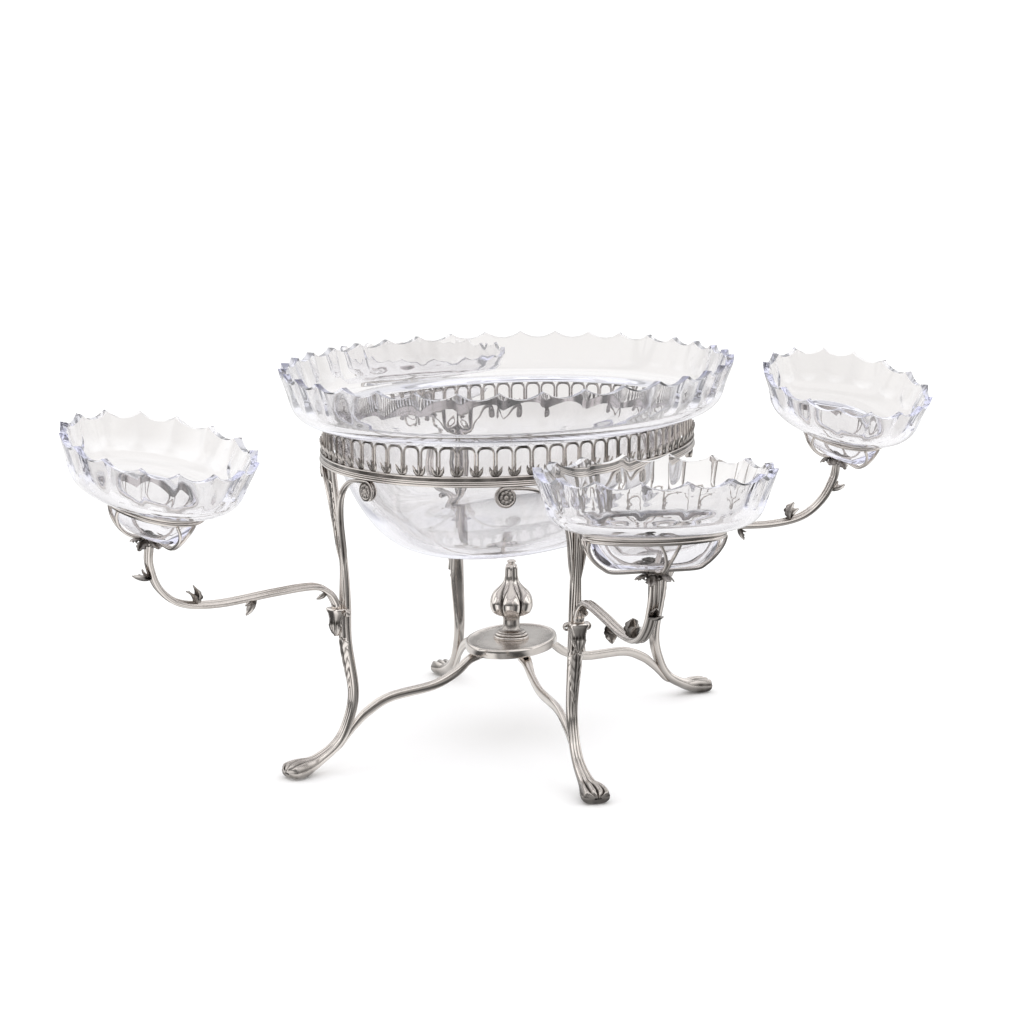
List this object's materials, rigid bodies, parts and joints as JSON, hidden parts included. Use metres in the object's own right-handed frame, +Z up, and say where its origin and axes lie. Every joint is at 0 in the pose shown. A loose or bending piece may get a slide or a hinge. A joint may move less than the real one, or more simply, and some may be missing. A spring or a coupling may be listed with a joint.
{
  "type": "epergne",
  "caption": "Oval silver table centrepiece: a pierced gallery on cabriole legs holds a scalloped cut-glass bowl, and detachable scroll branches hold small glass dishes.",
  "frame": {"origin": "on the table under the middle of the oval stand", "axes": "+X along the long axis of the oval, +Y across it, +Z up"},
  "size_m": [0.5135, 0.4047, 0.2195],
  "materials": {
    "silver": "polished silver",
    "dark_silver": "polished silver with dark patina in the recesses",
    "glass": "clear cut crystal"
  },
  "bodies": {
    "stand": {"gallery_strip": "silver", "reeded_moulding": "silver", "arcade_hoops": "silver", "arcade_leaves": "dark_silver", "stretcher_plate": "silver", "plate_rim": "silver", "finial_foot": "silver", "finial_bud": "silver", "finial_stud": "dark_silver", "finial_nut": "dark_silver", "leg_front_left": "silver", "branch_socket_front_left": "silver", "scroll_brackets_front_left": "silver", "rosettes_front_left": "dark_silver", "stretcher_front_left": "silver", "leg_front_right": "silver", "branch_socket_front_right": "silver", "scroll_brackets_front_right": "silver", "rosettes_front_right": "dark_silver", "stretcher_front_right": "silver", "leg_back_left": "silver", "branch_socket_back_left": "silver", "scroll_brackets_back_left": "silver", "rosettes_back_left": "dark_silver", "stretcher_back_left": "silver", "leg_back_right": "silver", "branch_socket_back_right": "silver", "scroll_brackets_back_right": "silver", "rosettes_back_right": "dark_silver", "stretcher_back_right": "silver"},
    "branch_front_left": {"branch_front_left": "silver", "branch_leaves_front_left": "dark_silver", "calyx_front_left": "dark_silver", "dish_claws_front_left": "silver", "dish_ring_front_left": "silver"},
    "dish_front_left": {"dish_front_left": "glass"},
    "branch_front_right": {"branch_front_right": "silver", "branch_leaves_front_right": "dark_silver", "calyx_front_right": "dark_silver", "dish_claws_front_right": "silver", "dish_ring_front_right": "silver"},
    "dish_front_right": {"dish_front_right": "glass"},
    "branch_back_left": {"branch_back_left": "silver", "branch_leaves_back_left": "dark_silver", "calyx_back_left": "dark_silver", "dish_claws_back_left": "silver", "dish_ring_back_left": "silver"},
    "dish_back_left": {"dish_back_left": "glass"},
    "branch_back_right": {"branch_back_right": "silver", "branch_leaves_back_right": "dark_silver", "calyx_back_right": "dark_silver", "dish_claws_back_right": "silver", "dish_ring_back_right": "silver"},
    "dish_back_right": {"dish_back_right": "glass"},
    "centre_bowl": {"centre_bowl": "glass"}
  },
  "joints": [
    {"name": "branch_lift_front_left", "type": "slide", "parent": "stand", "child": "branch_front_left", "axis": [0, 0, 1], "range_m": [0, 0.02]},
    {"name": "dish_lift_front_left", "type": "slide", "parent": "branch_front_left", "child": "dish_front_left", "axis": [0, 0, 1], "range_m": [0, 0.04]},
    {"name": "branch_lift_front_right", "type": "slide", "parent": "stand", "child": "branch_front_right", "axis": [0, 0, 1], "range_m": [0, 0.02]},
    {"name": "dish_lift_front_right", "type": "slide", "parent": "branch_front_right", "child": "dish_front_right", "axis": [-0.2116, -0.1278, 0.969], "range_m": [0, 0.04]},
    {"name": "branch_lift_back_left", "type": "slide", "parent": "stand", "child": "branch_back_left", "axis": [0, 0, 1], "range_m": [0, 0.02]},
    {"name": "dish_lift_back_left", "type": "slide", "parent": "branch_back_left", "child": "dish_back_left", "axis": [-0.0771, -0.1594, 0.9842], "range_m": [0, 0.04]},
    {"name": "branch_lift_back_right", "type": "slide", "parent": "stand", "child": "branch_back_right", "axis": [0, 0, 1], "range_m": [0, 0.02]},
    {"name": "dish_lift_back_right", "type": "slide", "parent": "branch_back_right", "child": "dish_back_right", "axis": [-0.0598, -0.0359, 0.9976], "range_m": [0, 0.04]},
    {"name": "bowl_lift", "type": "slide", "parent": "stand", "child": "centre_bowl", "axis": [0, 0, 1], "range_m": [0, 0.1]}
  ]
}
